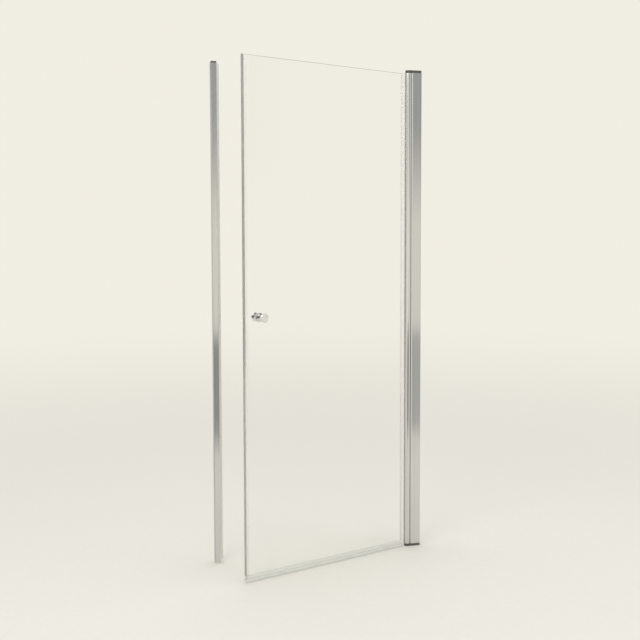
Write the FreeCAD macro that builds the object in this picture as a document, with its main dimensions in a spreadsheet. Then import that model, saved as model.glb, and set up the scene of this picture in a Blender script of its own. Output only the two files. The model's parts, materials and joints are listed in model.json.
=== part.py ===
import FreeCAD, Part
import os
import re
import Sketcher

# Pivot shower door for an alcove: a frameless glass leaf on a full-height hinge stile that turns on
# two pins between end blocks of the hinge post, closing on a magnet strip of the strike post.
#
# Frame, in millimetres: the origin is on the pivot axis at the shower tray, +Z up, +X towards the
# wall on the hinge side, +Y into the shower.  The leaf is drawn closed, lying along -X, and every
# leaf piece is then turned about the pivot axis by open_angle, outwards to -Y.

SIZES = [
    # the opening, and how the door stands in it
    ("door_height", 2000, "tray to the top of the posts"),
    ("alcove_width", 880, "wall to wall"),
    ("pivot_inset", 54, "pivot axis to the wall on the hinge side"),
    ("open_angle", 19.3, "how far the leaf stands open, in degrees"),
    # posts, extruded aluminium
    ("post_depth", 26, "front to back"),
    ("post_wall", 2, "wall thickness"),
    ("post_back_gap", 1.5, "edge of a post to the wall"),
    ("corner_round", 1.5, "radius of the outer corners"),
    ("strike_face", 21.5, "width of the strike post's front"),
    ("nose_offset", 9, "pivot axis to the nose of the hinge post"),
    ("nose_web", 3.5, "thinnest wall behind the hinge post's hollow"),
    ("nose_bevel", 6, "how far the nose's corners are cut back"),
    ("port_offset", 24, "pivot axis to the screw ports of the hinge post"),
    ("port_spread", 16, "one screw port to the other"),
    ("port_dia", 8, "outside of a screw port"),
    ("groove_mouth", 4, "mouth of the strike post's seal groove"),
    ("groove_width", 6.8, "inside width of the seal groove"),
    ("groove_depth", 3, "inside depth of the seal groove"),
    # channels screwed to the walls, inside the posts
    ("channel_wall", 2, "wall thickness"),
    ("channel_gap", 0.3, "channel to post, each side"),
    ("hinge_channel_depth", 24, "how far the hinge channel stands off its wall"),
    ("strike_channel_depth", 16, "how far the strike channel stands off its wall"),
    ("wall_hole_dia", 5.5, "holes for the wall screws"),
    ("wall_hole_inset", 160, "first wall hole above the tray"),
    ("wall_hole_count", 4, "wall holes in each channel"),
    # screws and their caps
    ("post_screw_dia", 3.5, "screws through post and channel"),
    ("post_screw_head", 7, "head diameter"),
    ("post_screw_rise", 2.4, "head height"),
    ("post_screw_length", 8, "length under the head"),
    ("post_screw_inset", 150, "first screw above the tray"),
    ("post_screw_count", 3, "screws in each post"),
    ("hinge_screw_offset", 40, "pivot axis to the hinge post's screws"),
    ("strike_screw_offset", 10, "strike wall to the strike post's screws"),
    ("cap_dia", 10, "screw cap diameter"),
    ("cap_rise", 3.6, "screw cap height"),
    ("cap_wall", 1, "screw cap wall"),
    ("block_screw_dia", 4.2, "screws through the pivot blocks"),
    ("block_screw_head", 8, "countersunk head diameter"),
    ("block_screw_sink", 2.6, "countersunk head height"),
    ("block_screw_length", 28, "overall length"),
    ("drive_width", 1.1, "slot width of a cross drive"),
    ("drive_span", 3.6, "span of a cross drive"),
    ("drive_depth", 1.3, "depth of a cross drive"),
    # pivots
    ("block_thickness", 10, "height of a pivot block"),
    ("pin_dia", 8, "pivot pin diameter"),
    ("pin_floor", 2.5, "metal left under the bottom pin"),
    ("pin_reach", 26, "how far a pin stands out of its block"),
    ("pin_head_dia", 13, "head of the top pin"),
    ("pin_head_rise", 3, "head height of the top pin"),
    ("pin_key_span", 5, "hexagon key across its flats"),
    ("pin_key_depth", 2.4, "depth of the key socket"),
    ("end_chamfer", 0.8, "chamfer on pin, stud and knob ends"),
    ("washer_dia", 20, "thrust washer diameter"),
    ("washer_thickness", 1, "thrust washer thickness"),
    ("thrust_gap", 0.2, "thrust washer to the bottom plug"),
    ("running_gap", 0.08, "pin to bush, on the radius"),
    ("bush_dia", 11, "outside of a pivot bush"),
    ("bush_length", 24, "length of a pivot bush"),
    ("plug_length", 30, "plug inside the stile"),
    ("plug_flange", 2, "flange over the stile's end"),
    ("flange_inset", 0.4, "flange edge inside the barrel's"),
    # hinge stile
    ("barrel_dia", 26, "round part of the stile"),
    ("barrel_wall", 2, "wall thickness"),
    ("barrel_gap", 1, "barrel to the hollow of the hinge post"),
    ("lip_reach", 16, "pivot axis to the end of the glazing lips"),
    ("lip_wall", 1.8, "thickness of a glazing lip"),
    ("pocket_floor", 8, "pivot axis to the floor of the glass pocket"),
    ("floor_wall", 1.2, "thickness of the pocket floor"),
    ("wiper_width", 2, "wiper strip in the hinge post"),
    ("wiper_root", 1.7, "how deep the wiper sits in its groove"),
    ("wiper_gap", 0.3, "wiper to the barrel"),
    # glass and its seals
    ("glass_thickness", 6, "toughened glass"),
    ("glass_top_drop", 15, "glass top below the post tops"),
    ("glass_bottom", 15, "glass bottom above the tray"),
    ("glass_arris", 0.5, "ground edge of the glass"),
    ("gasket_skin", 1, "wall of the glazing gasket"),
    ("gasket_reach", 38, "pivot axis to the end of the gasket"),
    ("seal_skin", 0.9, "thinnest wall of the clear seals"),
    ("seal_web", 2, "web between glass and magnet"),
    ("seal_grip", 10, "how far the edge seal covers the glass"),
    ("magnet_width", 3.5, "edge magnet along the glass"),
    ("magnet_depth", 4.6, "magnets through the glass"),
    ("strike_magnet_width", 3, "strike magnet along the wall line"),
    ("closing_gap", 1, "edge seal to strike seal when closed"),
    ("barb_thickness", 1.2, "barb of the strike seal"),
    ("stop_reach", 12, "strike post to the tip of the stop fin"),
    ("stop_stand", 1.8, "stop fin behind the closed edge seal"),
    ("strike_seal_bottom", 16, "strike seal above the tray"),
    ("seal_bottom", 5, "bottom seal above the tray"),
    ("seal_top", 29, "top of the bottom seal"),
    ("seal_joint", 0.5, "edge seal and gasket above the bottom seal"),
    ("seal_start", 18, "pivot axis to the bottom seal"),
    ("seal_groove", 0.5, "groove along the bottom seal"),
    ("drip_reach", 9, "drip fin out of the bottom seal"),
    ("drip_root", 1.3, "drip fin thickness where it leaves the seal"),
    ("drip_drop", 5.4, "drip fin tip below its root"),
    # knobs
    ("knob_dia", 35, "knob diameter"),
    ("knob_length", 33, "knob length"),
    ("knob_inset", 66, "glass edge to the knob's centre"),
    ("knob_height", 1010, "knob centre above the tray"),
    ("knob_waist", 1.5, "how far the waist is drawn in"),
    ("knob_waist_round", 70, "radius of the waist's curve"),
    ("knob_chamfer", 2, "bevel of the knob's end"),
    ("knob_dish_dia", 24, "dish in the knob's end"),
    ("knob_dish_depth", 0.8, "depth of the dish"),
    ("knob_hole_dia", 14, "hole through the glass"),
    ("stud_dia", 6, "stud through the glass"),
    ("stud_grip", 14, "stud inside each knob"),
    ("knob_washer_dia", 30, "washer between knob and glass"),
    ("knob_washer_thickness", 1, "washer thickness"),
    # end caps of the strike post
    ("top_cap_thickness", 6, "cap on the strike post"),
    ("foot_cap_thickness", 3, "cap under the strike post"),
    ("cap_stub", 8, "stub of a cap inside the channel"),
    # clearance between pieces that are fitted together and don't move
    ("fit_gap", 0.1, "fitted pieces, each side"),
]

# Lengths that follow from the sizes above.
DERIVED = {
    "post_half": "post_depth / 2",
    "post_inner": "post_half - post_wall",
    "channel_half": "post_inner - channel_gap",
    "hinge_back": "pivot_inset - post_back_gap",
    "strike_wall": "alcove_width - pivot_inset",
    "strike_back": "strike_wall - post_back_gap",
    "strike_line": "strike_back - strike_face",
    "barrel_radius": "barrel_dia / 2",
    "bore_radius": "barrel_radius - barrel_wall",
    "hollow_radius": "barrel_radius + barrel_gap",
    "nose_back": "hollow_radius + nose_web",
    "port_bore": "block_screw_dia / 2 + fit_gap",
    "post_bottom": "block_thickness",
    "post_top": "door_height - block_thickness",
    "post_length": "post_top - post_bottom",
    "plug_bottom": "block_thickness + washer_thickness + thrust_gap",
    "stile_bottom": "plug_bottom + plug_flange",
    "stile_top": "door_height - stile_bottom",
    "slot_half": "glass_thickness / 2 + gasket_skin + 2 * fit_gap",
    "lip_half": "slot_half + lip_wall",
    "floor_back": "pocket_floor - floor_wall",
    "glass_half": "glass_thickness / 2",
    "glass_start": "pocket_floor + gasket_skin + 2 * fit_gap",
    "glass_top": "door_height - glass_top_drop",
    "grip_half": "glass_half + fit_gap",
    "magnet_half": "magnet_depth / 2",
    "magnet_room": "magnet_half + fit_gap",
    "seal_half": "grip_half + seal_skin",
    "strike_stand": "strike_magnet_width + 2 * seal_skin + 3 * fit_gap",
    "leaf_reach": "strike_line - strike_stand - closing_gap",
    "edge_room_end": "leaf_reach - seal_skin",
    "edge_room_start": "edge_room_end - magnet_width - 2 * fit_gap",
    "slot_end": "edge_room_start - seal_web",
    "glass_reach": "slot_end - fit_gap",
    "edge_seal_bottom": "seal_top + seal_joint",
    "knob_reach": "glass_reach - knob_inset",
    "knob_base": "glass_half + knob_washer_thickness",
    "knob_end": "knob_base + knob_length",
    "stud_end": "knob_base + stud_grip",
    "strike_bottom": "foot_cap_thickness",
    "strike_top": "door_height - top_cap_thickness",
    "wall_hole_pitch": "(door_height - 2 * wall_hole_inset) / (wall_hole_count - 1)",
    "post_screw_pitch": "(door_height - 2 * post_screw_inset) / (post_screw_count - 1)",
    "seal_mid": "glass_bottom - fit_gap - seal_skin",
    "barb_front": "strike_line + post_wall + fit_gap",
    "barb_half": "groove_width / 2 - 2 * fit_gap",
    "neck_half": "groove_mouth / 2 - fit_gap",
    "stop_half": "seal_half + stop_stand",
}

Vector = FreeCAD.Vector
doc = FreeCAD.newDocument("pivot_shower_door")
sheet = doc.addObject("Spreadsheet::Sheet", "Sizes")
for line, (alias, number, meaning) in enumerate(SIZES, start=1):
    sheet.set(f"A{line}", meaning)
    sheet.set(f"B{line}", str(number))
    sheet.setAlias(f"B{line}", alias)
doc.recompute()

ALIASES = {alias for alias, number, meaning in SIZES}
NODES = []


# ---------------------------------------------------------------- formulas, sketches and features

def formula(text):
    """Spells a formula in size names out as an expression on the sheet."""
    def spell(match):
        word = match.group(0)
        if word in DERIVED:
            return "(" + formula(DERIVED[word]) + ")"
        return "Sizes." + word if word in ALIASES else word
    return re.sub(r"[a-z][a-z_]*", spell, str(text))


def value(text):
    """The number that a formula comes to now."""
    return float(sheet.evalExpression(formula(text)))


def new_body(name, on_leaf=False):
    """A sub-part.  A leaf piece is turned about the pivot axis to the angle the door stands at."""
    body = doc.addObject("PartDesign::Body", name)
    body.Label = name
    body.Placement = FreeCAD.Placement(Vector(0, 0, 0), FreeCAD.Rotation(Vector(0, 0, 1), 0))
    if on_leaf:
        body.Placement = FreeCAD.Placement(Vector(0, 0, 0), FreeCAD.Rotation(Vector(0, 0, 1), 1))
        body.setExpression("Placement.Rotation.Angle", formula("open_angle"))
    NODES.append(body)
    return body


def origin_feature(body, role):
    return [feature for feature in body.Origin.OriginFeatures if feature.Role == role][0]


def new_sketch(body, plane="XY_Plane", at=("0", "0", "0")):
    """A sketch on a plane of the body's origin, moved along the plane's own x, y and normal."""
    sketch = body.newObject("Sketcher::SketchObject", body.Label + "_sketch")
    sketch.AttachmentSupport = (origin_feature(body, plane), [""])
    sketch.MapMode = "FlatFace"
    for letter, distance in zip("xyz", at):
        sketch.setExpression("AttachmentOffset.Base." + letter, formula(distance))
    return sketch


def constrain(sketch, constraint, text):
    index = sketch.addConstraint(constraint)
    sketch.setExpression(f"Constraints[{index}]", formula(text))


def pin_point(sketch, geometry, point, x, y):
    """Holds a point of the sketch at two formulas from the sketch's origin."""
    constrain(sketch, Sketcher.Constraint("DistanceX", -1, 1, geometry, point, value(x)), x)
    constrain(sketch, Sketcher.Constraint("DistanceY", -1, 1, geometry, point, value(y)), y)


def polygon(sketch, corners):
    """A closed outline whose corners are pairs of formulas."""
    first = sketch.GeometryCount
    count = len(corners)
    places = [Vector(value(x), value(y), 0) for x, y in corners]
    for i in range(count):
        sketch.addGeometry(Part.LineSegment(places[i], places[(i + 1) % count]), False)
    for i in range(count):
        sketch.addConstraint(Sketcher.Constraint("Coincident", first + i, 2, first + (i + 1) % count, 1))
    for i, (x, y) in enumerate(corners):
        pin_point(sketch, first + i, 1, x, y)


def rectangle(sketch, low_x, high_x, low_y, high_y):
    polygon(sketch, [(low_x, low_y), (high_x, low_y), (high_x, high_y), (low_x, high_y)])


def circle(sketch, x, y, radius):
    centre = Vector(value(x), value(y), 0)
    index = sketch.addGeometry(Part.Circle(centre, Vector(0, 0, 1), value(radius)), False)
    pin_point(sketch, index, 3, x, y)
    constrain(sketch, Sketcher.Constraint("Radius", index, value(radius)), radius)


def mirrored_outline(half):
    """Corners of one half, then the same with y turned round, going back: closed about y = 0."""
    return half + [(x, f"-({y})") for x, y in reversed(half)]


def finish(body, feature, cuts=False):
    """Works the feature out, and makes sure that it added to the body or took from it."""
    before = finish.volumes.get(body.Name, 0)
    body.Tip = feature
    doc.recompute()
    after = feature.Shape.Volume
    wrong = after >= before - 1e-9 if cuts else after <= before + 1e-9
    if wrong:
        raise RuntimeError(f"{feature.Name} of {body.Label} has volume {after}, was {before}")
    finish.volumes[body.Name] = after
    return feature


finish.volumes = {}


def pad(body, sketch, length):
    feature = body.newObject("PartDesign::Pad", body.Label + "_pad")
    feature.Profile = sketch
    feature.setExpression("Length", formula(length))
    return finish(body, feature)


def pocket(body, sketch, length):
    """Cuts along the sketch's normal, the way that a pad of the same sketch would grow."""
    feature = body.newObject("PartDesign::Pocket", body.Label + "_pocket")
    feature.Profile = sketch
    feature.Reversed = True
    feature.setExpression("Length", formula(length))
    return finish(body, feature, cuts=True)


def turn(body, sketch, kind="PartDesign::Revolution"):
    """Turns the sketch a full circle about its own upright axis."""
    feature = body.newObject(kind, body.Label + "_turned")
    feature.Profile = sketch
    feature.ReferenceAxis = (sketch, ["V_Axis"])
    feature.Angle = 360
    return finish(body, feature, cuts=kind == "PartDesign::Groove")


def repeat_upwards(body, features, pitch, count, cuts=False):
    pattern = body.newObject("PartDesign::LinearPattern", body.Label + "_pattern")
    pattern.Originals = features
    pattern.Direction = (origin_feature(body, "Z_Axis"), [""])
    pattern.Mode = "Spacing"
    pattern.setExpression("Offset", formula(pitch))
    pattern.setExpression("Occurrences", formula(count))
    return finish(body, pattern, cuts)


def mirror(body, features, plane, cuts=False):
    """Copies features to the other side of a plane of the body's origin."""
    copy = body.newObject("PartDesign::Mirrored", body.Label + "_mirrored")
    copy.Originals = features
    copy.MirrorPlane = (origin_feature(body, plane), [""])
    return finish(body, copy, cuts)


def dress_edges(body, kind, size, chosen):
    """A fillet or chamfer on each edge of the body that the function chosen picks."""
    base = body.Tip
    names = [f"Edge{i}" for i, edge in enumerate(base.Shape.Edges, start=1) if chosen(edge)]
    if not names:
        raise RuntimeError(f"{body.Label} has no edge to dress")
    feature = body.newObject("PartDesign::" + kind, body.Label + "_" + kind.lower())
    feature.Base = (base, names)
    feature.setExpression("Radius" if kind == "Fillet" else "Size", formula(size))
    return finish(body, feature, cuts=True)


def upright_at(x, *ys):
    """Picks upright edges at a given x and at any of the given ys."""
    def chosen(edge):
        ends = [vertex.Point for vertex in edge.Vertexes]
        if len(ends) != 2 or abs(ends[0].z - ends[1].z) < 1:
            return False
        same_x = all(abs(end.x - value(x)) < 1e-4 for end in ends)
        return same_x and any(all(abs(end.y - value(y)) < 1e-4 for end in ends) for y in ys)
    return chosen


def prism(name, corners, bottom, length, on_leaf=False, holes=()):
    """An upright extrusion of one outline, with any closed holes through it."""
    body = new_body(name, on_leaf)
    sketch = new_sketch(body, at=("0", "0", bottom))
    polygon(sketch, corners)
    for hole in holes:
        polygon(sketch, hole)
    pad(body, sketch, length)
    return body


def ring(body, radius, bore, plane, at, length):
    sketch = new_sketch(body, plane, at)
    circle(sketch, "0", "0", radius)
    circle(sketch, "0", "0", bore)
    return pad(body, sketch, length)


# ---------------------------------------------------------------- hinge side, fixed to the wall

def wall_holes(body, wall_face):
    """Screw holes in a channel's web, from the face that lies on the wall."""
    sketch = new_sketch(body, "YZ_Plane", ("0", "wall_hole_inset", wall_face))
    circle(sketch, "0", "0", "wall_hole_dia / 2")
    hole = pocket(body, sketch, "channel_wall")
    repeat_upwards(body, [hole], "wall_hole_pitch", "wall_hole_count", cuts=True)


def side_holes(body, x, inner_face, thickness):
    """Holes through the shower side of a post or channel for the screws that join them."""
    sketch = new_sketch(body, "XZ_Plane", (x, "post_screw_inset", f"-({inner_face} + {thickness})"))
    circle(sketch, "0", "0", "post_screw_dia / 2 + fit_gap")
    hole = pocket(body, sketch, thickness)
    repeat_upwards(body, [hole], "post_screw_pitch", "post_screw_count", cuts=True)


def hinge_wall_channel():
    inner = "channel_half - channel_wall"
    half = [
        ("pivot_inset", "-channel_half"),
        ("pivot_inset - hinge_channel_depth", "-channel_half"),
        ("pivot_inset - hinge_channel_depth", f"-({inner})"),
        ("pivot_inset - channel_wall", f"-({inner})"),
    ]
    body = prism("hinge_wall_channel", mirrored_outline(half), "post_bottom", "post_length")
    wall_holes(body, "pivot_inset - channel_wall")
    side_holes(body, "hinge_screw_offset", inner, "channel_wall")


def hinge_post():
    """A post open towards the wall, its bevelled nose hollowed for the barrel, with ports for the
    screws of the blocks."""
    half = [
        ("nose_offset", "-(post_half - nose_bevel)"),
        ("nose_offset + nose_bevel", "-post_half"),
        ("hinge_back", "-post_half"),
        ("hinge_back", "-post_inner"),
        ("nose_back", "-post_inner"),
    ]
    body = prism("hinge_post", mirrored_outline(half), "post_bottom", "post_length")
    hollow = new_sketch(body, at=("0", "0", "post_bottom"))
    circle(hollow, "0", "0", "hollow_radius")
    pocket(body, hollow, "post_length")
    groove = new_sketch(body, at=("0", "0", "post_bottom"))
    root = "hollow_radius + wiper_root + fit_gap"
    rectangle(groove, "barrel_radius", root, "-(wiper_width / 2 + fit_gap)", "wiper_width / 2 + fit_gap")
    pocket(body, groove, "post_length")
    ports = new_sketch(body, at=("0", "0", "post_bottom"))
    bores = new_sketch(body, at=("0", "0", "post_bottom"))
    for side in ("-", ""):
        circle(ports, "port_offset", side + "port_spread / 2", "port_dia / 2")
        circle(bores, "port_offset", side + "port_spread / 2", "port_bore")
    pad(body, ports, "post_length")
    pocket(body, bores, "post_length")
    side_holes(body, "hinge_screw_offset", "post_inner", "post_wall")
    corner = upright_at("nose_offset + nose_bevel", "-post_half", "post_half")
    dress_edges(body, "Fillet", "corner_round", corner)


def block_outline(body, bottom):
    """A pivot block: round about the pivot axis, square towards the wall like the post it closes."""
    nose = new_sketch(body, at=("0", "0", bottom))
    circle(nose, "0", "0", "barrel_radius")
    pad(body, nose, "block_thickness")
    tail = new_sketch(body, at=("0", "0", bottom))
    rectangle(tail, "0", "hinge_back", "-post_half", "post_half")
    pad(body, tail, "block_thickness")


def countersinks(body, face, inwards):
    """Two countersunk holes that line up with the screw ports of the hinge post."""
    sketch = new_sketch(body, "XZ_Plane", ("port_offset", "0", "port_spread / 2"))
    head = "block_screw_head / 2 + fit_gap"
    polygon(sketch, [
        ("0", face),
        (head, face),
        ("port_bore", f"{face} {inwards} (block_screw_sink + fit_gap)"),
        ("port_bore", f"{face} {inwards} block_thickness"),
        ("0", f"{face} {inwards} block_thickness"),
    ])
    hole = turn(body, sketch, "PartDesign::Groove")
    mirror(body, [hole], "XZ_Plane", cuts=True)


def bottom_pivot_block():
    body = new_body("bottom_pivot_block")
    block_outline(body, "0")
    bore = new_sketch(body, at=("0", "0", "pin_floor"))
    circle(bore, "0", "0", "pin_dia / 2 + fit_gap")
    pocket(body, bore, "block_thickness - pin_floor")
    countersinks(body, "0", "+")


def top_pivot_block():
    body = new_body("top_pivot_block")
    block_outline(body, "post_top")
    bore = new_sketch(body, at=("0", "0", "post_top"))
    circle(bore, "0", "0", "pin_dia / 2 + fit_gap")
    pocket(body, bore, "block_thickness")
    seat = new_sketch(body, at=("0", "0", "door_height - pin_head_rise"))
    circle(seat, "0", "0", "pin_head_dia / 2 + fit_gap")
    pocket(body, seat, "pin_head_rise")
    countersinks(body, "door_height", "-")


def cross_drive(body, plane, at):
    """Cuts a cross for a screwdriver into a head, along the sketch's normal."""
    wide = "drive_width / 2"
    far = "drive_span / 2"
    quarter = [(wide, far), (wide, wide), (far, wide)]
    sketch = new_sketch(body, plane, at)
    corners = []
    for sign_x, sign_y in (("", ""), ("", "-"), ("-", "-"), ("-", "")):
        turned = quarter if sign_x == sign_y else list(reversed(quarter))
        corners += [(f"{sign_x}({x})", f"{sign_y}({y})") for x, y in turned]
    polygon(sketch, corners)
    return pocket(body, sketch, "drive_depth")


def block_screws(name, face, inwards, drive_start):
    """Two countersunk screws that hold a pivot block on the end of the hinge post."""
    body = new_body(name)
    sketch = new_sketch(body, "XZ_Plane", ("port_offset", "0", "port_spread / 2"))
    polygon(sketch, [
        ("0", face),
        ("block_screw_head / 2", face),
        ("block_screw_dia / 2", f"{face} {inwards} block_screw_sink"),
        ("block_screw_dia / 2", f"{face} {inwards} (block_screw_length - block_screw_dia / 2)"),
        ("0", f"{face} {inwards} block_screw_length"),
    ])
    screw = turn(body, sketch)
    drive = cross_drive(body, "XY_Plane", ("port_offset", "-port_spread / 2", drive_start))
    mirror(body, [screw, drive], "XZ_Plane")


def bottom_pivot_pin():
    body = new_body("bottom_pivot_pin")
    sketch = new_sketch(body, "XZ_Plane")
    radius = "pin_dia / 2"
    end = "block_thickness + pin_reach"
    polygon(sketch, [
        ("0", "pin_floor"),
        (f"{radius} - end_chamfer", "pin_floor"),
        (radius, "pin_floor + end_chamfer"),
        (radius, f"{end} - end_chamfer"),
        (f"{radius} - end_chamfer", end),
        ("0", end),
    ])
    turn(body, sketch)


def top_pivot_pin():
    """The top pin goes in from above once the leaf stands on the bottom one."""
    body = new_body("top_pivot_pin")
    sketch = new_sketch(body, "XZ_Plane")
    radius = "pin_dia / 2"
    end = "post_top - pin_reach"
    shoulder = "door_height - pin_head_rise"
    polygon(sketch, [
        ("0", end),
        (f"{radius} - end_chamfer", end),
        (radius, f"{end} + end_chamfer"),
        (radius, shoulder),
        ("pin_head_dia / 2", shoulder),
        ("pin_head_dia / 2", "door_height"),
        ("0", "door_height"),
    ])
    turn(body, sketch)
    key = new_sketch(body, at=("0", "0", "door_height - pin_key_depth"))
    flat = "pin_key_span / 2"
    point = "pin_key_span / sqrt(3)"
    half_point = "pin_key_span / sqrt(12)"
    polygon(key, [
        (point, "0"), (half_point, flat), (f"-{half_point}", flat),
        (f"-{point}", "0"), (f"-{half_point}", f"-{flat}"), (half_point, f"-{flat}"),
    ])
    pocket(body, key, "pin_key_depth")


def thrust_washer():
    body = new_body("thrust_washer")
    ring(body, "washer_dia / 2", "pin_dia / 2 + fit_gap", "XY_Plane",
         ("0", "0", "block_thickness"), "washer_thickness")


def hinge_wiper():
    """A soft strip in the hinge post that keeps water from passing behind the barrel."""
    corners = [
        ("barrel_radius + wiper_gap", "-wiper_width / 2"),
        ("hollow_radius + wiper_root", "-wiper_width / 2"),
        ("hollow_radius + wiper_root", "wiper_width / 2"),
        ("barrel_radius + wiper_gap", "wiper_width / 2"),
    ]
    prism("hinge_wiper", corners, "post_bottom", "post_length")


def post_screws(name, x):
    """Pan-head screws from the shower side through a post into its wall channel."""
    body = new_body(name)
    sketch = new_sketch(body, "XY_Plane", (x, "0", "post_screw_inset"))
    polygon(sketch, [
        ("0", "post_half - post_screw_length"),
        ("post_screw_dia / 2", "post_half - post_screw_length + post_screw_dia / 2"),
        ("post_screw_dia / 2", "post_half"),
        ("post_screw_head / 2", "post_half"),
        ("post_screw_head / 2", "post_half + post_screw_rise / 2"),
        ("post_screw_head / 4", "post_half + post_screw_rise"),
        ("0", "post_half + post_screw_rise"),
    ])
    screw = turn(body, sketch)
    depth = "-(post_half + post_screw_rise)"
    drive = cross_drive(body, "XZ_Plane", (x, "post_screw_inset", depth))
    repeat_upwards(body, [screw, drive], "post_screw_pitch", "post_screw_count")


def screw_caps(name, x):
    """Push-on caps over the heads of the post screws."""
    body = new_body(name)
    sketch = new_sketch(body, "XY_Plane", (x, "0", "post_screw_inset"))
    outer = "cap_dia / 2"
    top = "post_half + cap_rise"
    polygon(sketch, [
        (f"{outer} - cap_wall", "post_half"),
        (outer, "post_half"),
        (outer, f"{top} - cap_wall"),
        (f"{outer} - cap_wall", top),
        ("0", top),
        ("0", f"{top} - cap_wall"),
        (f"{outer} - cap_wall", f"{top} - cap_wall"),
    ])
    cap = turn(body, sketch)
    repeat_upwards(body, [cap], "post_screw_pitch", "post_screw_count")


# ---------------------------------------------------------------- strike side, fixed to the wall

def strike_wall_channel():
    inner = "channel_half - channel_wall"
    half = [
        ("-strike_wall", "-channel_half"),
        ("strike_channel_depth - strike_wall", "-channel_half"),
        ("strike_channel_depth - strike_wall", f"-({inner})"),
        ("channel_wall - strike_wall", f"-({inner})"),
    ]
    length = "strike_top - strike_bottom"
    body = prism("strike_wall_channel", mirrored_outline(half), "strike_bottom", length)
    wall_holes(body, "-strike_wall")
    side_holes(body, "strike_screw_offset - strike_wall", inner, "channel_wall")


def strike_post():
    """A hollow post with an undercut groove that holds the magnet seal."""
    groove_half = "groove_width / 2"
    wall_in = "-strike_line - post_wall"
    floor = "-strike_line - post_wall - groove_depth"
    half = [
        ("-strike_back", "-post_inner"),
        ("-strike_back", "-post_half"),
        ("-strike_line", "-post_half"),
        ("-strike_line", "-groove_mouth / 2"),
        (wall_in, "-groove_mouth / 2"),
        (wall_in, f"-{groove_half}"),
        (floor, f"-{groove_half}"),
    ]
    other = [(x, f"-({y})") for x, y in reversed(half)]
    inside = [
        (wall_in, "post_inner"),
        (wall_in, f"{groove_half} + post_wall"),
        (f"{floor} - post_wall", f"{groove_half} + post_wall"),
    ]
    inside += [(x, f"-({y})") for x, y in reversed(inside)]
    body = prism("strike_post", half + other + inside, "strike_bottom", "strike_top - strike_bottom")
    side_holes(body, "strike_screw_offset - strike_wall", "post_inner", "post_wall")
    dress_edges(body, "Fillet", "corner_round", upright_at("-strike_line", "-post_half", "post_half"))


def strike_cap(name, plate_bottom, plate_thickness, stub_bottom):
    """A cap on one end of the strike post, with a stub that plugs into the wall channel."""
    body = new_body(name)
    plate = new_sketch(body, at=("0", "0", plate_bottom))
    rectangle(plate, "-strike_back", "-strike_line", "-post_half", "post_half")
    pad(body, plate, plate_thickness)
    stub = new_sketch(body, at=("0", "0", stub_bottom))
    reach = "strike_line + 2 * post_wall + groove_depth + channel_gap"
    room = "channel_half - channel_wall - channel_gap"
    rectangle(stub, "channel_wall + channel_gap - strike_wall", f"-({reach})", f"-({room})", room)
    pad(body, stub, "cap_stub")
    dress_edges(body, "Fillet", "corner_round", upright_at("-strike_line", "-post_half", "post_half"))


def strike_seal():
    """Clear strip that carries the strike magnet, snapped into the post, with a fin as the stop."""
    front = "fit_gap - strike_line"
    tip = "strike_stand - strike_line"
    corners = [
        ("-barb_front - barb_thickness", "-barb_half"),
        ("-barb_front", "-barb_half"),
        ("-barb_front", "-neck_half"),
        (front, "-neck_half"),
        (front, "-seal_half"),
        (tip, "-seal_half"),
        (tip, "seal_half"),
        (f"{front} + seal_skin", "seal_half"),
        (f"{front} + seal_skin", "stop_half"),
        ("stop_reach - strike_line", "stop_half"),
        ("stop_reach - strike_line", "stop_half + seal_skin"),
        (front, "stop_half + seal_skin"),
        (front, "neck_half"),
        ("-barb_front", "neck_half"),
        ("-barb_front", "barb_half"),
        ("-barb_front - barb_thickness", "barb_half"),
    ]
    low = f"{front} + seal_skin"
    high = f"{tip} - seal_skin"
    room = [(low, "-magnet_room"), (high, "-magnet_room"), (high, "magnet_room"), (low, "magnet_room")]
    length = "strike_top - strike_seal_bottom"
    prism("strike_seal", corners, "strike_seal_bottom", length, holes=[room])


def strike_magnet():
    low = "2 * fit_gap + seal_skin - strike_line"
    high = "2 * fit_gap + seal_skin + strike_magnet_width - strike_line"
    corners = [(low, "-magnet_half"), (high, "-magnet_half"), (high, "magnet_half"), (low, "magnet_half")]
    prism("strike_magnet", corners, "strike_seal_bottom", "strike_top - strike_seal_bottom")


# ---------------------------------------------------------------- leaf

def hinge_stile():
    """A round barrel with two short lips that hold the glass; the pivots sit in its bore."""
    body = new_body("hinge_stile", on_leaf=True)
    length = "stile_top - stile_bottom"
    at = ("0", "0", "stile_bottom")
    ring(body, "barrel_radius", "bore_radius", "XY_Plane", at, length)
    lips = new_sketch(body, at=at)
    rectangle(lips, "-lip_reach", "-floor_back", "-lip_half", "lip_half")
    pad(body, lips, length)
    slot = new_sketch(body, at=at)
    rectangle(slot, "-lip_reach", "-pocket_floor", "-slot_half", "slot_half")
    pocket(body, slot, length)


def stile_plug(name, flange_bottom, body_bottom):
    """A plug in the end of the stile, with a flange over its edge and a bore for the pivot bush."""
    body = new_body(name, on_leaf=True)
    flange = new_sketch(body, at=("0", "0", flange_bottom))
    circle(flange, "0", "0", "barrel_radius - flange_inset")
    pad(body, flange, "plug_flange")
    core = new_sketch(body, at=("0", "0", body_bottom))
    circle(core, "0", "0", "bore_radius - fit_gap")
    pad(body, core, "plug_length")
    flat = new_sketch(body, at=("0", "0", body_bottom))
    rectangle(flat, "-barrel_radius", "fit_gap - floor_back", "-barrel_radius", "barrel_radius")
    pocket(body, flat, "plug_length")
    return body


def stile_bottom_plug():
    body = stile_plug("stile_bottom_plug", "plug_bottom", "stile_bottom")
    bore = new_sketch(body, at=("0", "0", "plug_bottom"))
    circle(bore, "0", "0", "bush_dia / 2 + fit_gap")
    pocket(body, bore, "plug_flange + plug_length")


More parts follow.
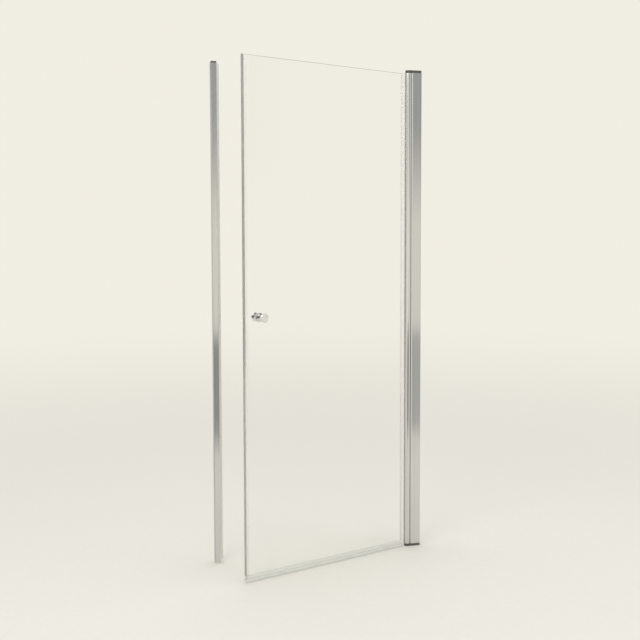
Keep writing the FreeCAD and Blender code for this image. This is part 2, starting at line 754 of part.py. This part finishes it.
def stile_top_plug():
    body = stile_plug("stile_top_plug", "stile_top", "stile_top - plug_length")
    bore = new_sketch(body, at=("0", "0", "stile_top - plug_length"))
    circle(bore, "0", "0", "bush_dia / 2 + fit_gap")
    pocket(body, bore, "plug_flange + plug_length")


def pivot_bush(name, bottom):
    body = new_body(name, on_leaf=True)
    ring(body, "bush_dia / 2", "pin_dia / 2 + running_gap", "XY_Plane", ("0", "0", bottom), "bush_length")


def glass_panel():
    body = new_body("glass_panel", on_leaf=True)
    sketch = new_sketch(body, "XZ_Plane", ("0", "0", "-glass_half"))
    rectangle(sketch, "-glass_reach", "-glass_start", "glass_bottom", "glass_top")
    circle(sketch, "-knob_reach", "knob_height", "knob_hole_dia / 2")
    pad(body, sketch, "glass_thickness")

    def long_edge(edge):
        return len(edge.Vertexes) == 2 and edge.Length > value("2 * glass_thickness")
    dress_edges(body, "Chamfer", "glass_arris", long_edge)


def glazing_gasket():
    """Clear strip round the hinge edge of the glass, which also shows beside the barrel."""
    outer = "grip_half + gasket_skin"
    back = "-(pocket_floor + fit_gap)"
    web = "-(pocket_floor + fit_gap + gasket_skin)"
    half = [(web, "-grip_half"), ("-gasket_reach", "-grip_half"), ("-gasket_reach", f"-({outer})"),
            (back, f"-({outer})")]
    body = prism("glazing_gasket", mirrored_outline(half), "stile_bottom", "glass_top - stile_bottom",
                 on_leaf=True)
    notch = new_sketch(body, at=("0", "0", "stile_bottom"))
    rectangle(notch, "-gasket_reach", "-(lip_reach + fit_gap)", f"-({outer})", outer)
    pocket(body, notch, "edge_seal_bottom - stile_bottom")


def edge_seal():
    """Clear strip on the free edge: a slot that grips the glass, and a closed room for the magnet."""
    corners = [
        ("-leaf_reach", "-seal_half"),
        ("seal_grip - glass_reach", "-seal_half"),
        ("seal_grip - glass_reach", "-grip_half"),
        ("-slot_end", "-grip_half"),
        ("-slot_end", "grip_half"),
        ("seal_grip - glass_reach", "grip_half"),
        ("seal_grip - glass_reach", "seal_half"),
        ("-leaf_reach", "seal_half"),
    ]
    room = [
        ("-edge_room_end", "-magnet_room"), ("-edge_room_start", "-magnet_room"),
        ("-edge_room_start", "magnet_room"), ("-edge_room_end", "magnet_room"),
    ]
    prism("edge_seal", corners, "edge_seal_bottom", "glass_top - edge_seal_bottom", on_leaf=True,
          holes=[room])


def edge_magnet():
    low = "fit_gap - edge_room_end"
    high = "-edge_room_start - fit_gap"
    corners = [(low, "-magnet_half"), (high, "-magnet_half"), (high, "magnet_half"), (low, "magnet_half")]
    prism("edge_magnet", corners, "edge_seal_bottom", "glass_top - edge_seal_bottom", on_leaf=True)


def bottom_seal():
    """Clear drip seal under the glass: two grip walls, a hollow foot and a fin that drips inwards."""
    body = new_body("bottom_seal", on_leaf=True)
    sketch = new_sketch(body, "YZ_Plane", ("0", "0", "-leaf_reach"))
    tip_y = "seal_half + drip_reach"
    tip_z = "seal_mid - seal_skin - drip_drop"
    polygon(sketch, [
        ("-grip_half", "seal_top"),
        ("-seal_half", "seal_top"),
        ("-seal_half", "seal_mid + 2 * seal_groove"),
        ("seal_groove - seal_half", "seal_mid + seal_groove"),
        ("-seal_half", "seal_mid"),
        ("-seal_half", "seal_bottom"),
        ("seal_half", "seal_bottom"),
        ("seal_half", "seal_mid - seal_skin - drip_root"),
        (f"{tip_y} - seal_groove", tip_z),
        (tip_y, f"{tip_z} + seal_skin"),
        ("seal_half", "seal_mid - seal_skin"),
        ("seal_half", "seal_top"),
        ("grip_half", "seal_top"),
        ("grip_half", "glass_bottom - fit_gap"),
        ("-grip_half", "glass_bottom - fit_gap"),
    ])
    rectangle(sketch, "-grip_half", "grip_half", "seal_bottom + seal_skin", "seal_mid")
    pad(body, sketch, "leaf_reach - seal_start")


def knob(name, side):
    """A turned knob with a drawn-in waist, a bevelled end with a shallow dish, and a threaded bore."""
    body = new_body(name, on_leaf=True)
    place = ("-knob_reach", "0", "knob_height")
    outwards, inwards = ("-", "+") if side == "-" else ("+", "-")
    radius = "knob_dia / 2"
    base = f"{side}knob_base"
    end = f"{side}knob_end"
    dish = f"{end} {inwards} knob_dish_depth"
    bore = "stud_dia / 2 + fit_gap"
    bore_end = f"{side}(stud_end + end_chamfer)"
    sketch = new_sketch(body, "XY_Plane", place)
    polygon(sketch, [
        (bore, base),
        (f"{radius} - end_chamfer", base),
        (radius, f"{base} {outwards} end_chamfer"),
        (radius, f"{end} {inwards} knob_chamfer"),
        (f"{radius} - knob_chamfer", end),
        ("knob_dish_dia / 2", end),
        ("knob_dish_dia / 2 - knob_dish_depth", dish),
        ("0", dish),
        ("0", bore_end),
        (bore, bore_end),
    ])
    turn(body, sketch)
    waist = new_sketch(body, "XY_Plane", place)
    circle(waist, f"{radius} - knob_waist + knob_waist_round", f"{side}(knob_base + knob_length / 2)",
           "knob_waist_round")
    turn(body, waist, "PartDesign::Groove")


def knob_stud():
    body = new_body("knob_stud", on_leaf=True)
    sketch = new_sketch(body, "XY_Plane", ("-knob_reach", "0", "knob_height"))
    radius = "stud_dia / 2"
    polygon(sketch, [
        ("0", "-stud_end"),
        (f"{radius} - end_chamfer", "-stud_end"),
        (radius, "end_chamfer - stud_end"),
        (radius, "stud_end - end_chamfer"),
        (f"{radius} - end_chamfer", "stud_end"),
        ("0", "stud_end"),
    ])
    turn(body, sketch)


def knob_sleeve():
    """Keeps the stud off the edge of the hole in the glass."""
    body = new_body("knob_sleeve", on_leaf=True)
    ring(body, "knob_hole_dia / 2 - fit_gap", "stud_dia / 2 + fit_gap", "XZ_Plane",
         ("-knob_reach", "knob_height", "-glass_half"), "glass_thickness")


def knob_washers():
    """A clear washer on each face of the glass, under the knobs."""
    body = new_body("knob_washers", on_leaf=True)
    washer = ring(body, "knob_washer_dia / 2", "stud_dia / 2 + fit_gap", "XZ_Plane",
                  ("-knob_reach", "knob_height", "glass_half"), "knob_washer_thickness")
    mirror(body, [washer], "XZ_Plane")


hinge_wall_channel()
hinge_post()
hinge_wiper()
bottom_pivot_block()
top_pivot_block()
bottom_pivot_pin()
top_pivot_pin()
thrust_washer()
block_screws("bottom_block_screws", "0", "+", "0")
block_screws("top_block_screws", "door_height", "-", "door_height - drive_depth")
post_screws("hinge_post_screws", "hinge_screw_offset")
screw_caps("hinge_screw_caps", "hinge_screw_offset")
strike_wall_channel()
strike_post()
strike_cap("strike_top_cap", "strike_top", "top_cap_thickness", "strike_top - cap_stub")
strike_cap("strike_foot_cap", "0", "foot_cap_thickness", "foot_cap_thickness")
strike_seal()
strike_magnet()
post_screws("strike_post_screws", "strike_screw_offset - strike_wall")
screw_caps("strike_screw_caps", "strike_screw_offset - strike_wall")
hinge_stile()
stile_bottom_plug()
stile_top_plug()
pivot_bush("bottom_pivot_bush", "plug_bottom")
pivot_bush("top_pivot_bush", "door_height - plug_bottom - bush_length")
glass_panel()
glazing_gasket()
edge_seal()
edge_magnet()
bottom_seal()
knob("outer_knob", "-")
knob("inner_knob", "")
knob_stud()
knob_sleeve()
knob_washers()

doc.recompute()
for thing in doc.Objects:
    if {"Invalid", "Error"} & set(thing.State):
        raise RuntimeError(f"{thing.Name} is {thing.State}")
for body in NODES:
    if body.Shape.isNull() or not body.Shape.isValid() or not body.Shape.Solids:
        raise RuntimeError(f"{body.Label} has no sound shape")

os.makedirs("parts", exist_ok=True)
for body in NODES:
    body.Shape.exportStep(f"parts/{body.Label}.step")
    print(body.Label, len(body.Shape.Solids), "solid(s),", round(body.Shape.Volume / 1000, 2), "cm3")
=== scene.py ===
import json
import math

import bmesh
import bpy
from mathutils import Matrix, Vector


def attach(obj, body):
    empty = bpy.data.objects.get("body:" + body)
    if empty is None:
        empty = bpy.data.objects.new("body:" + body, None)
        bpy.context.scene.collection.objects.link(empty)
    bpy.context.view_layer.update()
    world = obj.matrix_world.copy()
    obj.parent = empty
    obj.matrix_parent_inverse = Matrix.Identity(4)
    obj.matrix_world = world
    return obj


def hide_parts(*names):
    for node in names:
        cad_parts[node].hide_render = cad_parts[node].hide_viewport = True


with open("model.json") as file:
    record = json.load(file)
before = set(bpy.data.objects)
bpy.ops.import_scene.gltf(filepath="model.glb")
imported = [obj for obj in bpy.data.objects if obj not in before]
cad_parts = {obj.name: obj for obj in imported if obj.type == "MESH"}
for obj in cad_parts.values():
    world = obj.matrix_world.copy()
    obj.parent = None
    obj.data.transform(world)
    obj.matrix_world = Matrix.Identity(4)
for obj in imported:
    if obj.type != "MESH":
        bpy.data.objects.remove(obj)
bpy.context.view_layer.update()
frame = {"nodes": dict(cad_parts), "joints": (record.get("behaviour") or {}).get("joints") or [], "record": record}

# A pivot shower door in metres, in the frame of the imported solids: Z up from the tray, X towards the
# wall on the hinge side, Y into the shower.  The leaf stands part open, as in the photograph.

NODES = frame["nodes"]
scene = bpy.context.scene
scene.view_settings.view_transform = "Standard"

PIVOT_JOINT = frame["joints"][0]
OPEN_ANGLE = math.radians(-PIVOT_JOINT["range_deg"][0])
LEAF = "door_leaf"
QUARTER_TURN = math.pi / 2


# ---------------------------------------------------------------- camera

# Place, turn and focal length fitted to the door's straight edges in the photograph.
CAMERA_PLACE = Vector((-1.4212, -3.7775, 1.3051))
CAMERA_YAW = math.radians(15.378)
CAMERA_PITCH = math.radians(-3.633)
CAMERA_ROLL = math.radians(-0.142)
FOCAL_PIXELS = 958.44
PICTURE = 640
AXIS_ROW = 300
SENSOR_WIDTH = 36.0
CLIP_START = 0.05
CLIP_END = 100.0


def make_camera():
    data = bpy.data.cameras.new("camera")
    data.sensor_width = SENSOR_WIDTH
    data.lens = data.sensor_width * FOCAL_PIXELS / PICTURE
    data.shift_y = (AXIS_ROW - PICTURE / 2) / PICTURE
    data.clip_start = CLIP_START
    data.clip_end = CLIP_END
    camera = bpy.data.objects.new("camera", data)
    scene.collection.objects.link(camera)
    yaw, pitch = CAMERA_YAW, CAMERA_PITCH
    forward = Vector((math.sin(yaw) * math.cos(pitch), math.cos(yaw) * math.cos(pitch), math.sin(pitch)))
    level = Vector((math.cos(yaw), -math.sin(yaw), 0.0))
    upright = level.cross(forward)
    right = math.cos(CAMERA_ROLL) * level + math.sin(CAMERA_ROLL) * upright
    up = math.cos(CAMERA_ROLL) * upright - math.sin(CAMERA_ROLL) * level
    turned = Matrix((right, up, -forward)).transposed()
    camera.matrix_world = Matrix.Translation(CAMERA_PLACE) @ turned.to_4x4()
    scene.camera = camera


# ---------------------------------------------------------------- node helpers

def rgb(red, green, blue):
    return (red, green, blue, 1.0)


class Tree:
    """A material's or world's nodes, made and linked in short calls."""

    def __init__(self, owner):
        owner.use_nodes = True
        self.nodes = owner.node_tree.nodes
        self.links = owner.node_tree.links
        self.nodes.clear()

    def add(self, kind, inputs=None, **settings):
        node = self.nodes.new(kind)
        for name, setting in settings.items():
            setattr(node, name, setting)
        for name, source in (inputs or {}).items():
            self.feed(node.inputs[name], source)
        return node

    def feed(self, socket, source):
        if isinstance(source, bpy.types.NodeSocket):
            self.links.new(source, socket)
        else:
            socket.default_value = source

    def math(self, operation, a, b):
        return self.add("ShaderNodeMath", {0: a, 1: b}, operation=operation).outputs[0]

    def ramp(self, factor, low, high, to_low=0.0, to_high=1.0, smooth=False):
        """Maps factor from low..high to to_low..to_high, held at both ends."""
        kind = "SMOOTHSTEP" if smooth else "LINEAR"
        inputs = {"Value": factor, "From Min": low, "From Max": high, "To Min": to_low, "To Max": to_high}
        return self.add("ShaderNodeMapRange", inputs, interpolation_type=kind, clamp=True).outputs["Result"]

    def spread(self, noise, to_low, to_high, used=(0.3, 0.7)):
        """Noise as a value between to_low and to_high; used is the share of its range that counts."""
        return self.ramp(noise, used[0], used[1], to_low, to_high)

    def levels(self, value, stops):
        """A grey that follows value through the stops, each (value, level)."""
        low, high = stops[0][0], stops[-1][0]
        node = self.add("ShaderNodeValToRGB", {"Fac": self.ramp(value, low, high)})
        elements = node.color_ramp.elements
        while len(elements) < len(stops):
            elements.new(0.5)
        for element, (place, level) in zip(elements, stops):
            element.position = (place - low) / (high - low)
            element.color = rgb(level, level, level)
        return node.outputs["Color"]

    def mix_colour(self, factor, a, b):
        node = self.add("ShaderNodeMix", data_type="RGBA")
        self.feed(node.inputs["Factor"], factor)
        self.feed(node.inputs[6], a)
        self.feed(node.inputs[7], b)
        return node.outputs[2]

    def mix_shader(self, factor, a, b):
        return self.add("ShaderNodeMixShader", {0: factor, 1: a, 2: b}).outputs[0]

    def light_path(self):
        return self.add("ShaderNodeLightPath").outputs

    def nothing(self, tint=rgb(1.0, 1.0, 1.0)):
        """A shader that lets everything through, tinted."""
        return self.add("ShaderNodeBsdfTransparent", {"Color": tint}).outputs[0]

    def glow(self, colour):
        return self.add("ShaderNodeEmission", {"Color": colour, "Strength": 1.0}).outputs[0]

    def noise(self, stretch, scale, detail=2.0, roughness=0.5):
        place = self.add("ShaderNodeTexCoord").outputs["Object"]
        stretched = self.add("ShaderNodeMapping", {"Vector": place, "Scale": stretch}).outputs["Vector"]
        inputs = {"Vector": stretched, "Scale": scale, "Detail": detail, "Roughness": roughness}
        return self.add("ShaderNodeTexNoise", inputs).outputs["Fac"]

    def bump(self, height, distance, normal=None):
        inputs = {"Height": height, "Distance": distance}
        if normal is not None:
            inputs["Normal"] = normal
        return self.add("ShaderNodeBump", inputs).outputs["Normal"]

    def principled(self, **inputs):
        named = {name.replace("_", " ").title().replace("Ior", "IOR"): v for name, v in inputs.items()}
        return self.add("ShaderNodeBsdfPrincipled", named).outputs["BSDF"]

    def finish(self, shader):
        self.add("ShaderNodeOutputMaterial", {"Surface": shader})


def new_material(name):
    material = bpy.data.materials.new(name)
    return material, Tree(material)


# ---------------------------------------------------------------- materials

# How noise is stretched: the same all ways, or drawn out along the profiles.
EVEN = (1.0, 1.0, 1.0)
ALONG_Z = (1.0, 1.0, 0.004)


def polished_aluminium():
    """Bright anodised extrusion: a near mirror, with die lines that run up the profile."""
    material, tree = new_material("polished_aluminium")
    lines = tree.noise(ALONG_Z, 1400.0, detail=3.0, roughness=0.6)
    bands = tree.noise(ALONG_Z, 160.0, detail=2.0)
    haze = tree.noise((1.0, 1.0, 0.25), 9.0, detail=4.0)
    rough = tree.math("ADD", tree.spread(lines, 0.05, 0.12), tree.spread(haze, 0.0, 0.07, used=(0.4, 0.75)))
    colour = tree.mix_colour(tree.spread(bands, 0.0, 1.0), rgb(0.64, 0.64, 0.625), rgb(0.71, 0.71, 0.70))
    wave = tree.bump(bands, 0.00002)
    fine = tree.bump(lines, 0.000004, normal=wave)
    tree.finish(tree.principled(base_color=colour, metallic=1.0, roughness=rough, normal=fine))
    return material


def mill_aluminium():
    """Plain extruded aluminium, duller, with stronger die lines."""
    material, tree = new_material("mill_aluminium")
    lines = tree.noise(ALONG_Z, 900.0, detail=4.0, roughness=0.7)
    cloud = tree.noise((1.0, 1.0, 0.3), 12.0, detail=3.0)
    colour = tree.mix_colour(cloud, rgb(0.50, 0.51, 0.52), rgb(0.60, 0.61, 0.61))
    rough = tree.spread(lines, 0.28, 0.46, used=(0.25, 0.75))
    tree.finish(tree.principled(base_color=colour, metallic=1.0, roughness=rough,
                                normal=tree.bump(lines, 0.00001)))
    return material


def chrome():
    """Mirror plating, with a trace of wiping marks."""
    material, tree = new_material("chrome")
    marks = tree.noise(EVEN, 120.0, detail=4.0, roughness=0.7)
    film = tree.noise(EVEN, 25.0, detail=2.0)
    colour = tree.mix_colour(film, rgb(0.76, 0.77, 0.77), rgb(0.83, 0.83, 0.82))
    rough = tree.spread(marks, 0.02, 0.09, used=(0.35, 0.8))
    tree.finish(tree.principled(base_color=colour, metallic=1.0, roughness=rough,
                                normal=tree.bump(marks, 0.000003)))
    return material


def steel():
    """Satin stainless steel of screws and pins."""
    material, tree = new_material("steel")
    grain = tree.noise(EVEN, 700.0, detail=3.0)
    colour = tree.mix_colour(grain, rgb(0.46, 0.46, 0.46), rgb(0.60, 0.59, 0.58))
    tree.finish(tree.principled(base_color=colour, metallic=1.0, roughness=tree.spread(grain, 0.22, 0.38),
                                normal=tree.bump(grain, 0.000006)))
    return material


def dark_block():
    """Dark grey powder coat, satin, with a fine orange peel."""
    material, tree = new_material("dark_block")
    peel = tree.noise(EVEN, 1600.0, detail=2.0)
    cloud = tree.noise(EVEN, 60.0, detail=3.0)
    colour = tree.mix_colour(cloud, rgb(0.072, 0.071, 0.068), rgb(0.098, 0.096, 0.090))
    tree.finish(tree.principled(base_color=colour, roughness=tree.spread(cloud, 0.30, 0.42),
                                normal=tree.bump(peel, 0.00002)))
    return material


def magnet_strip():
    """Magnet-filled rubber, grey-brown and slightly glossy."""
    material, tree = new_material("magnet_strip")
    grain = tree.noise(ALONG_Z, 700.0, detail=3.0)
    colour = tree.mix_colour(grain, rgb(0.235, 0.222, 0.198), rgb(0.305, 0.290, 0.258))
    tree.finish(tree.principled(base_color=colour, roughness=tree.spread(grain, 0.42, 0.6),
                                normal=tree.bump(grain, 0.00002)))
    return material


def grey_rubber():
    """Dark soft rubber, matt, drawn out along the strip."""
    material, tree = new_material("grey_rubber")
    grain = tree.noise((1.0, 1.0, 0.05), 1200.0, detail=3.0)
    colour = tree.mix_colour(grain, rgb(0.09, 0.09, 0.09), rgb(0.14, 0.14, 0.135))
    tree.finish(tree.principled(base_color=colour, roughness=tree.spread(grain, 0.55, 0.75),
                                normal=tree.bump(grain, 0.00004)))
    return material


def nylon():
    """Natural nylon: pale and softly glossy."""
    material, tree = new_material("nylon")
    grain = tree.noise(EVEN, 500.0, detail=3.0)
    colour = tree.mix_colour(grain, rgb(0.76, 0.74, 0.68), rgb(0.84, 0.82, 0.77))
    tree.finish(tree.principled(base_color=colour, roughness=tree.spread(grain, 0.38, 0.52),
                                normal=tree.bump(grain, 0.00002)))
    return material


def lets_lamps_through(tree, shader, tint):
    """Light from the lamps passes such a material, tinted, where a solid would throw a full shadow."""
    return tree.mix_shader(tree.light_path()["Is Shadow Ray"], shader, tree.nothing(tint))


def clear_glass():
    """Toughened glass: very slightly green, with faint roller waves and a trace of film."""
    material, tree = new_material("clear_glass")
    waves = tree.noise((0.6, 0.6, 1.0), 2.2, detail=1.0)
    film = tree.noise((1.0, 1.0, 0.6), 7.0, detail=5.0, roughness=0.65)
    glass = tree.principled(base_color=rgb(0.982, 0.989, 0.982),
                            roughness=tree.spread(film, 0.0, 0.02, used=(0.5, 0.8)),
                            ior=1.5, transmission_weight=1.0, normal=tree.bump(waves, 0.0006))
    tree.finish(lets_lamps_through(tree, glass, rgb(0.94, 0.96, 0.95)))
    return material


def clear_seal():
    """Clear soft plastic, a little cloudy, with faint lines from the extruder."""
    material, tree = new_material("clear_seal")
    lines = tree.noise(ALONG_Z, 500.0, detail=2.0)
    cloud = tree.noise((1.0, 1.0, 0.1), 12.0, detail=3.0)
    colour = tree.mix_colour(cloud, rgb(0.955, 0.955, 0.94), rgb(0.98, 0.98, 0.965))
    clear = tree.principled(base_color=colour, roughness=tree.spread(lines, 0.08, 0.14), ior=1.45,
                            transmission_weight=0.88, normal=tree.bump(lines, 0.000004))
    tree.finish(lets_lamps_through(tree, clear, rgb(0.80, 0.82, 0.815)))
    return material


def milky_seal():
    """Soft milky plastic with faint lines from the extruder."""
    material, tree = new_material("milky_seal")
    lines = tree.noise(ALONG_Z, 500.0, detail=2.0)
    cloud = tree.noise((1.0, 1.0, 0.1), 12.0, detail=3.0)
    colour = tree.mix_colour(cloud, rgb(0.80, 0.785, 0.73), rgb(0.86, 0.845, 0.795))
    tree.finish(tree.principled(base_color=colour, roughness=tree.spread(lines, 0.30, 0.42),
                                normal=tree.bump(lines, 0.00001)))
    return material


# Each function bears the name of the slot that it finishes.
MAKERS = (polished_aluminium, mill_aluminium, chrome, steel, dark_block, magnet_strip, grey_rubber, nylon,
          clear_glass, clear_seal, milky_seal)
MATERIALS = {make.__name__: make() for make in MAKERS}


def dress_nodes():
    """Gives each solid that stays in view the finish of its slot."""
    for part in frame["record"]["subparts"]:
        for holder in NODES[part["node"]].material_slots:
            holder.link = "OBJECT"
            holder.material = MATERIALS[part["material_slot"]]


# ---------------------------------------------------------------- knobs

KNOB_STEPS = 128
KNOB_ROUNDING = 0.0005


def rounded(profile, radius, steps=5):
    """The same profile with its inner corners rounded; each point is (distance along, radius)."""
    most_of_side = 0.45
    out = [profile[0]]
    for before, corner, after in zip(profile, profile[1:], profile[2:]):
        corner = Vector(corner)
        back = Vector(before) - corner
        ahead = Vector(after) - corner
        reach = min(radius, back.length * most_of_side, ahead.length * most_of_side)
        start = corner + back.normalized() * reach
        end = corner + ahead.normalized() * reach
        for i in range(steps + 1):
            t = i / steps
            point = (1 - t) ** 2 * start + 2 * t * (1 - t) * corner + t * t * end
            out.append((point.x, point.y))
    out.append(profile[-1])
    return out


def knob_profile(low, high, radius):
    """From the glass to the end: a foot, a drawn-in waist, a bevel, and a shallow dish."""
    waist = 0.0015
    bevel = 0.0020
    foot = 0.0008
    dish_radius = 0.012
    dish_depth = 0.0008
    waist_steps = 24
    waist_round = 0.070
    centre = (low + high) / 2
    half = math.sqrt(waist_round ** 2 - (waist_round - waist) ** 2)
    points = [(low, 0.0), (low, radius - foot), (low + foot, radius)]
    for i in range(waist_steps + 1):
        along = centre - half + 2 * half * i / waist_steps
        drawn = math.sqrt(waist_round ** 2 - (along - centre) ** 2) - (waist_round - waist)
        points.append((along, radius - drawn))
    points += [(high - bevel, radius), (high, radius - bevel), (high, dish_radius),
               (high - dish_depth, dish_radius - dish_depth), (high - dish_depth, 0.0)]
    return points


def closed_box(node):
    """The box of a leaf node as it lies with the leaf closed: (lowest, highest) corner."""
    back = Matrix.Rotation(-OPEN_ANGLE, 3, "Z")
    points = [back @ vertex.co for vertex in NODES[node].data.vertices]
    low = Vector([min(p[i] for p in points) for i in range(3)])
    high = Vector([max(p[i] for p in points) for i in range(3)])
    return low, high


def make_knob(node, side):
    """A turned knob that stands for its CAD node, on the outer (-1) or inner (+1) face of the glass."""
    low, high = closed_box("inner_knob")
    knob_radius = (high.z - low.z) / 2
    place = Vector(((low.x + high.x) / 2, 0.0, (low.z + high.z) / 2))
    mesh = bmesh.new()
    rows = []
    for along, radius in rounded(knob_profile(low.y, high.y, knob_radius), KNOB_ROUNDING):
        if radius == 0.0:
            rows.append([mesh.verts.new((0.0, side * along, 0.0))])
            continue
        row = []
        for i in range(KNOB_STEPS):
            turn = 2 * math.pi * i / KNOB_STEPS
            row.append(mesh.verts.new((radius * math.cos(turn), side * along, radius * math.sin(turn))))
        rows.append(row)
    for a, b in zip(rows, rows[1:]):
        for i in range(KNOB_STEPS):
            j = (i + 1) % KNOB_STEPS
            corners = [a[i % len(a)], a[j % len(a)], b[j % len(b)], b[i % len(b)]]
            mesh.faces.new(list(dict.fromkeys(corners)))
    bmesh.ops.recalc_face_normals(mesh, faces=mesh.faces)
    for face in mesh.faces:
        face.smooth = True
    name = node + "_turned"
    data = bpy.data.meshes.new(name)
    mesh.to_mesh(data)
    mesh.free()
    data.materials.append(MATERIALS["chrome"])
    data.transform(Matrix.Rotation(OPEN_ANGLE, 4, "Z") @ Matrix.Translation(place))
    piece = bpy.data.objects.new(name, data)
    scene.collection.objects.link(piece)
    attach(piece, LEAF)
    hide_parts(node)


# ---------------------------------------------------------------- floor, world, cards and lamps

BACKDROP = rgb(0.88, 0.85, 0.77)
FLOOR_CENTRE = (-0.4, 0.0, 0.0)
DOOR_CENTRE = (-0.4, -0.1, 1.0)


def plain_rays(tree):
    """1 for rays that show the background: from the camera, off metal and through glass; 0 for light."""
    rays = tree.light_path()
    indirect = tree.math("MAXIMUM", rays["Is Glossy Ray"], rays["Is Transmission Ray"])
    return tree.math("MAXIMUM", rays["Is Camera Ray"], indirect)


def make_floor():
    """A pale floor that fades with distance into the backdrop; light alone sees it end near the door."""
    radius = 40.0
    rim_steps = 128
    shown_fade = (0.9, 12.0)
    light_fade = (0.6, 2.4)
    mesh = bmesh.new()
    bmesh.ops.create_circle(mesh, cap_ends=True, radius=radius, segments=rim_steps)
    data = bpy.data.meshes.new("floor")
    mesh.to_mesh(data)
    mesh.free()
    material, tree = new_material("floor")
    place = tree.add("ShaderNodeTexCoord").outputs["Object"]
    away = tree.add("ShaderNodeVectorMath", {0: place}, operation="LENGTH").outputs["Value"]
    log_away = tree.math("LOGARITHM", away, math.e)
    speckle = tree.noise(EVEN, 40.0, detail=4.0)
    colour = tree.mix_colour(speckle, rgb(0.77, 0.75, 0.685), rgb(0.81, 0.79, 0.725))
    matt = tree.principled(base_color=colour, roughness=0.7, specular_ior_level=0.2)

    def fading(limits, beyond):
        share = tree.ramp(log_away, math.log(limits[0]), math.log(limits[1]), smooth=True)
        return tree.mix_shader(share, matt, beyond)

    for_light = fading(light_fade, tree.nothing())
    shown = fading(shown_fade, tree.glow(BACKDROP))
    tree.finish(tree.mix_shader(plain_rays(tree), for_light, shown))
    data.materials.append(material)
    floor = bpy.data.objects.new("floor", data)
    floor.location = FLOOR_CENTRE
    scene.collection.objects.link(floor)


def make_world():
    """A plain pale backdrop on every side; the light that comes from it changes softly with height."""
    world = bpy.data.worlds.new("studio")
    scene.world = world
    tree = Tree(world)
    way = tree.add("ShaderNodeTexCoord").outputs["Generated"]
    rise = tree.add("ShaderNodeSeparateXYZ", {0: way}).outputs["Z"]
    daylight = tree.levels(rise, [(-1.0, 0.60), (0.0, 0.93), (0.3, 0.62), (0.6, 0.56), (1.0, 1.04)])
    colour = tree.mix_colour(plain_rays(tree), daylight, BACKDROP)
    light = tree.add("ShaderNodeBackground", {"Color": colour, "Strength": 1.0}).outputs[0]
    tree.add("ShaderNodeOutputWorld", {"Surface": light})


def make_card(name, centre, size, level, edge, turn=0.0):
    """A soft-edged upright card that shows in mirror images alone and gives no light: a painted reflection.

    size is (width, height), level its brightness, where 1 is white, and edge the share that fades out.
    """
    warmth = 0.97
    mesh = bmesh.new()
    bmesh.ops.create_grid(mesh, x_segments=1, y_segments=1, size=0.5)
    data = bpy.data.meshes.new(name)
    mesh.to_mesh(data)
    mesh.free()
    data.transform(Matrix.Rotation(turn, 4, "Z") @ Matrix.Rotation(QUARTER_TURN, 4, "X")
                   @ Matrix.Diagonal((size[0], size[1], 1.0, 1.0)))
    material, tree = new_material(name)
    local = tree.add("ShaderNodeTexCoord").outputs["Generated"]
    place = tree.add("ShaderNodeSeparateXYZ", {0: local}).outputs
    fade = [(0.0, 0.0), (edge, 1.0), (1.0 - edge, 1.0), (1.0, 0.0)]
    face = tree.math("MULTIPLY", tree.levels(place["X"], fade), tree.levels(place["Z"], fade))
    # Painted reflection: the card glows only for rays that have already bounced off a mirror-like surface.
    mirrored = tree.math("MINIMUM", tree.light_path()["Glossy Depth"], 1.0)
    tree.finish(tree.mix_shader(tree.math("MULTIPLY", face, mirrored), tree.nothing(),
                                tree.glow(rgb(level, level, level * warmth))))
    data.materials.append(material)
    card = bpy.data.objects.new(name, data)
    card.location = centre
    card.visible_camera = card.visible_diffuse = card.visible_shadow = False
    scene.collection.objects.link(card)


def make_painted_reflections():
    """Painted reflections: grey cards for the dark bands in the metal, and bright ones for its lines and spots of
    light.
    """
    # In front of the door, high, low and beside the camera.
    make_card("high card", (0.0, -5.0, 3.5), (12.0, 4.0), level=0.45, edge=0.22)
    make_card("low card", (-0.17, -2.2, 0.36), (1.9, 0.76), level=0.36, edge=0.12)
    make_card("dark card", (-0.07, -2.1, 0.45), (0.55, 0.85), level=0.14, edge=0.2)
    make_card("window card", (-1.15, -4.0, 2.0), (1.5, 3.4), level=1.35, edge=0.1)
    make_card("right card", (1.05, -2.2, 0.36), (1.1, 0.76), level=0.52, edge=0.12)
    # To the left of the door and behind it, for the round sides of the knobs.
    make_card("left card", (-5.0, 1.9, 2.2), (4.6, 4.6), level=0.06, edge=0.06, turn=QUARTER_TURN)
    make_card("back card", (-1.0, 5.5, 4.6), (12.0, 3.6), level=0.14, edge=0.12)
    make_card("spot card", (-4.2, 1.8, 4.1), (3.0, 1.6), level=1.50, edge=0.1, turn=QUARTER_TURN)


def make_lamp(name, place, size, power, mirrored):
    """A soft rectangular lamp; mirrored says whether it shows in the glass and the bright metal."""
    data = bpy.data.lights.new(name, "AREA")
    data.shape = "RECTANGLE"
    data.size, data.size_y = size
    data.energy = power
    lamp = bpy.data.objects.new(name, data)
    lamp.location = place
    lamp.rotation_euler = (Vector(DOOR_CENTRE) - Vector(place)).to_track_quat("-Z", "Y").to_euler()
    lamp.visible_camera = False
    lamp.visible_glossy = mirrored
    lamp.visible_transmission = mirrored
    scene.collection.objects.link(lamp)


def make_lamps():
    make_lamp("key", (-2.6, -2.6, 3.6), (2.0, 2.0), power=42.0, mirrored=True)
    make_lamp("fill", (2.8, -2.2, 2.2), (1.8, 2.2), power=18.0, mirrored=False)
    make_lamp("top", (-0.4, 0.4, 4.2), (2.5, 2.0), power=36.0, mirrored=False)


make_camera()
dress_nodes()
make_knob("outer_knob", -1)
make_knob("inner_knob", 1)
make_floor()
make_world()
make_painted_reflections()
make_lamps()
